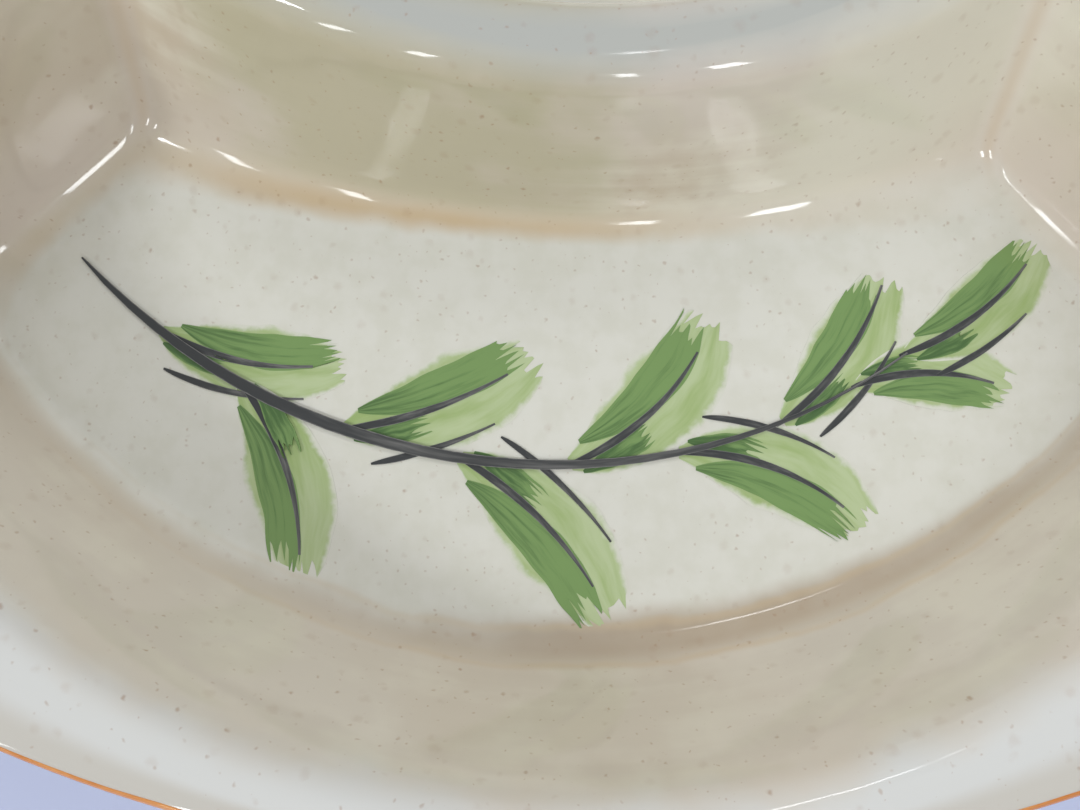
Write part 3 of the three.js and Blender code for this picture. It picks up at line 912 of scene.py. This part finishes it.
def paint_sprig(side, turn, paints):
    """A leafy sprig: each leaf is a light wash, a darker stroke along one half, a dab at its base and
    liner strokes for the vein and the edge."""
    draw = random.Random(side + 3)
    piece = begin("leaf_sprig_" + SIDES[side], bpy.ops.mesh.primitive_grid_add,
                  x_subdivisions=STROKE_STEPS, y_subdivisions=BRISTLES, size=1, calc_uvs=True)
    for paint in paints:
        piece.data.materials.append(paint)
    light, mid, deep, line = range(4)
    strokes = []
    for number, (share, hand, degrees, reach, broad) in enumerate(LEAVES):
        start = bezier(STEM, share)
        after = min(1.0, share + 2 * STEP)
        ahead = bezier(STEM, after) - bezier(STEM, after - 4 * STEP)
        heading = cmath.phase(ahead) - hand * math.radians(degrees + draw.uniform(-4, 4))
        reach *= draw.uniform(0.95, 1.05)
        broad *= draw.uniform(0.95, 1.08)
        tip = start + cmath.rect(reach, heading)
        bow = hand * draw.uniform(0.12, 0.22) * reach
        control = (start + tip) / 2 + cmath.rect(bow, heading + math.pi / 2)

        def leaf(t, points=(start, control, tip)):
            return bezier(points, t)

        def teeth(low):
            return [draw.uniform(low, 1.0) for _ in range(BRISTLES + 1)]

        height = WASH_LIFT + LEAF_STEP * number
        strokes.append((leaf, swelling(broad * 1.12, 0.03, 0.88), height, light, BRISTLES, teeth(0.9)))
        half = beside(leaf, 0.08, 0.98, -hand * broad * 0.2)
        half_width = swelling(broad * 0.5, 0.02, 0.8)
        strokes.append((half, half_width, height + HALF_LIFT, mid, BRISTLES, teeth(0.8)))
        dab = beside(leaf, 0.04, 0.42, hand * broad * 0.14)
        dab_width = swelling(broad * 0.3, 0.02, 0.75)
        strokes.append((dab, dab_width, height + DAB_LIFT, deep, BRISTLES, teeth(0.65)))
        vein = beside(leaf, -0.04, draw.uniform(0.8, 0.95), 0.0)
        strokes.append((vein, drawn(1.15, 0.35), height + VEIN_LIFT, line, LINER_LANES, None))
        if number % 3 != 1:
            rim = beside(leaf, 0.10, draw.uniform(0.62, 0.8), hand * broad * 0.46)
            strokes.append((rim, drawn(1.0, 0.3), height + EDGE_LIFT, line, LINER_LANES, None))

    stem = beside(lambda t: bezier(STEM, t), -0.06, 1.0, 0.0)
    strokes.append((stem, drawn(1.75, 0.25), STEM_LIFT, line, LINER_LANES, None))
    for i, (spine, width, lift, paint, lanes, rag) in enumerate(strokes):
        brush_stroke(spine, width, lift, turn, paint, lanes, rag, first=(i == 0))
    return piece


# Operators


class DISH_OT_glazed_body(bpy.types.Operator):
    """Model the glazed body: well, compartments, flange and outside in one continuous skin"""

    bl_idname = "dish.glazed_body"
    bl_label = "Glazed body"

    def execute(self, context):
        s = context.scene.dish_sizes
        piece = model_compartment(s)
        bpy.ops.mesh.select_all(action="SELECT")
        copies = len(SIDES) - 1
        bpy.ops.mesh.spin(
            steps=copies, dupli=True, angle=QUARTER * copies, center=(0, 0, 0), axis=(0, 0, 1))
        bpy.ops.mesh.select_all(action="SELECT")
        bpy.ops.mesh.remove_doubles(threshold=MERGE_DISTANCE)
        middle = s.well_radius + s.floor_length
        select_edge_ring(True, middle)
        model_well(s)
        select_edge_ring(False, middle)
        model_outside(s)
        nodes = ["base_plate", "centre_ring", "rim_flange"]
        nodes += ["divider_" + corner for corner in CORNERS]
        nodes += ["lobe_wall_" + side for side in SIDES]
        finish_piece(piece, speckled_glaze(context.scene.dish_colours), "cream_glaze", *nodes)
        return {"FINISHED"}


class DISH_OT_rim_line(bpy.types.Operator):
    """Lay the enamel line round the rolled rim, with the waver of a hand-held brush"""

    bl_idname = "dish.rim_line"
    bl_label = "Rim line"

    def execute(self, context):
        s = context.scene.dish_sizes
        rim = s.rim_radius
        half = s.rim_thickness / 2
        crest = s.crest_height + UNDER_ENAMEL
        corners = rim_corners(s, rim, crest)

        def on_rim(turn, depth):
            """A place on the rolled edge: turn is 0 at its top and 2 at its lower side."""
            def position(order, angle):
                spot = Vector((math.cos(angle), math.sin(angle), 0.0))
                waver = sum(far * noise.noise(spot * often) for far, often in ENAMEL_WAVER)
                share = turn + waver * max(0.0, 1 - turn)
                point = bezier(corners[:3], share) if share <= 1 else bezier(corners[2:], share - 1)
                inwards = complex(rim - half, crest - half) - point
                point += inwards / abs(inwards) * depth
                return turned(point.real, point.imag, angle)
            return position

        turns = [ENAMEL_START + ENAMEL_RUN * i / RIM_STEPS for i in range(RIM_STEPS + 1)]
        profile = [on_rim(turn, 0.0) for turn in turns]
        profile += [on_rim(turn, ENAMEL_DEPTH) for turn in reversed(turns)]
        piece = model_turned("enamel_line", profile)
        finish_piece(piece, rim_enamel(context.scene.dish_colours), "orange_enamel", "rim_line")
        return {"FINISHED"}


class DISH_OT_foot_ring(bpy.types.Operator):
    """Turn the unglazed foot ring under the dish"""

    bl_idname = "dish.foot_ring"
    bl_label = "Foot ring"

    def execute(self, context):
        s = context.scene.dish_sizes
        outer = s.foot_radius
        inner = outer - s.foot_width
        top = s.foot_height + FOOT_OVERLAP
        edge = s.foot_edge
        profile = bent(complex(inner, edge), complex(inner, 0), complex(inner + edge, 0), FOOT_STEPS)
        profile += bent(complex(outer - edge, 0), complex(outer, 0), complex(outer, edge), FOOT_STEPS)
        profile += [complex(outer, top), complex(inner, top)]
        piece = model_turned("turned_foot", [on_circle(point) for point in profile])
        finish_piece(piece, bare_clay(context.scene.dish_colours), "bare_stoneware", "foot_ring")
        return {"FINISHED"}


class DISH_OT_leaf_sprigs(bpy.types.Operator):
    """Paint a leafy sprig on the floor of each compartment"""

    bl_idname = "dish.leaf_sprigs"
    bl_label = "Leaf sprigs"

    def execute(self, context):
        c = context.scene.dish_colours
        paints = [brushed_paint(*paint) for paint in (
            # name, full, thin, under, low, high, along, across, fade
            ("light_green_underglaze", c.leaf_light, c.leaf_pale, c.cream, 0.35, 0.8, 1.6, 5.0, 0.15),
            ("mid_green_underglaze", c.leaf_dark, c.leaf_mid, c.leaf_mid, 0.30, 0.72, 1.6, 8.0, 0.25),
            ("deep_green_underglaze", c.leaf_dark, c.leaf_mid, c.leaf_mid, 0.55, 0.95, 1.6, 6.0, 0.3),
            ("grey_black_underglaze", c.line, c.line_thin, c.line_thin, 0.60, 1.15, 4.0, 1.0, 0.35),
        )]
        for side in range(len(SIDES)):
            piece = paint_sprig(side, side * QUARTER, paints)
            bpy.ops.mesh.select_all(action="SELECT")
            bpy.ops.mesh.normals_make_consistent(inside=False)
            bpy.ops.object.mode_set(mode="OBJECT")
            layer = piece.modifiers.new("Paint layer", "SOLIDIFY")
            layer.thickness = PAINT_THICKNESS
            layer.offset = -1.0
            bpy.ops.object.modifier_apply(modifier=layer.name)
            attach(piece, BODY)
        return {"FINISHED"}


class DISH_OT_stage(bpy.types.Operator):
    """Set the pale floor, the soft lamps and the camera"""

    bl_idname = "dish.stage"
    bl_label = "Stage"

    def execute(self, context):
        bpy.ops.object.select_all(action="DESELECT")
        bpy.ops.mesh.primitive_plane_add(size=STAGE_SIZE, location=(0, 0, 0))
        floor = context.object
        floor.name = "stage_floor"
        material, _, shader = new_material("pale_paper")
        connect(shader, {"Base Color": opaque(context.scene.dish_colours.table), "Roughness": 0.7})
        floor.data.materials.append(material)

        world = bpy.data.worlds.new("studio")
        world.use_nodes = True
        background = world.node_tree.nodes["Background"]
        connect(background, {"Color": (0.98, 0.99, 1.0, 1.0), "Strength": 0.51})
        context.scene.world = world

        front = Vector((0.0, -0.11, 0.01))
        right = Vector((0.16, -0.09, 0.01))
        lamps = (
            # name, aim, azimuth from the front, elevation, distance, width, height, spread, watts
            ("softbox_back", front, 172, 36, 1.5, 1.00, 1.00, 180, 10.0),
            ("softbox_right", front, 80, 58, 0.45, 0.20, 0.20, 180, 0.30),
            ("gridded_softbox", right, -72, 35, 1.2, 0.18, 0.18, 50, 0.36),
            ("tall_lamp_right", front, 13, 32, 1.0, 0.07, 0.22, 180, 0.65),
            ("tall_lamp_far_right", front, 34, 32, 1.0, 0.10, 0.22, 180, 0.95),
            ("tall_lamp_left", front, -30, 32, 1.0, 0.06, 0.22, 180, 0.55),
            ("tall_lamp_far_left", front, -49, 32, 1.0, 0.05, 0.22, 180, 0.45),
            ("lamp_high", front, 164, 66, 1.2, 0.06, 0.06, 180, 0.12),
        )
        for name, aim, azimuth, elevation, far, wide, tall, spread, watts in lamps:
            data = bpy.data.lights.new(name, "AREA")
            data.shape = "RECTANGLE"
            data.size = wide
            data.size_y = tall
            data.spread = math.radians(spread)
            data.energy = watts
            data.color = (0.95, 0.975, 1.0)
            lamp = bpy.data.objects.new(name, data)
            turn = math.radians(azimuth)
            rise = math.radians(elevation)
            level = math.cos(rise)
            away = Vector((math.sin(turn) * level, -math.cos(turn) * level, math.sin(rise)))
            lamp.location = aim + away * far
            lamp.rotation_euler = (-away).to_track_quat("-Z", "Y").to_euler()
            lamp.visible_glossy = not name.startswith("softbox")
            context.scene.collection.objects.link(lamp)

        data = bpy.data.cameras.new("camera")
        data.sensor_fit = "HORIZONTAL"
        data.sensor_width = 36.0
        data.lens = 27.0
        data.clip_start = 0.01
        camera = bpy.data.objects.new("camera", data)
        camera.location = (-0.00263, -0.12370, 0.12546)
        camera.rotation_euler = [math.radians(angle) for angle in (3.60, -0.30, 2.11)]
        context.scene.collection.objects.link(camera)
        context.scene.camera = camera
        context.scene.view_settings.view_transform = "Standard"
        return {"FINISHED"}


class DISH_PT_panel(bpy.types.Panel):
    """Sizes, colours and steps of the dish"""

    bl_idname = "DISH_PT_panel"
    bl_label = "Divided dish"
    bl_space_type = "VIEW_3D"
    bl_region_type = "UI"
    bl_category = "Dish"

    def draw(self, context):
        for group in (context.scene.dish_sizes, context.scene.dish_colours):
            box = self.layout.box()
            for name in group.bl_rna.properties.keys():
                if name not in {"rna_type", "name"}:
                    box.prop(group, name)
        for operator in OPERATORS:
            self.layout.operator(operator.bl_idname)


OPERATORS = (
    DISH_OT_stage,
    DISH_OT_glazed_body,
    DISH_OT_rim_line,
    DISH_OT_foot_ring,
    DISH_OT_leaf_sprigs,
)
CLASSES = (DishSizes, DishColours, *OPERATORS, DISH_PT_panel)


def register():
    for cls in CLASSES:
        bpy.utils.register_class(cls)
    bpy.types.Scene.dish_sizes = bpy.props.PointerProperty(type=DishSizes)
    bpy.types.Scene.dish_colours = bpy.props.PointerProperty(type=DishColours)


def unregister():
    del bpy.types.Scene.dish_colours
    del bpy.types.Scene.dish_sizes
    for cls in reversed(CLASSES):
        bpy.utils.unregister_class(cls)


def main():
    register()
    bpy.ops.dish.stage()
    bpy.ops.dish.glazed_body()
    bpy.ops.dish.rim_line()
    bpy.ops.dish.foot_ring()
    bpy.ops.dish.leaf_sprigs()


if __name__ == "__main__":
    main()
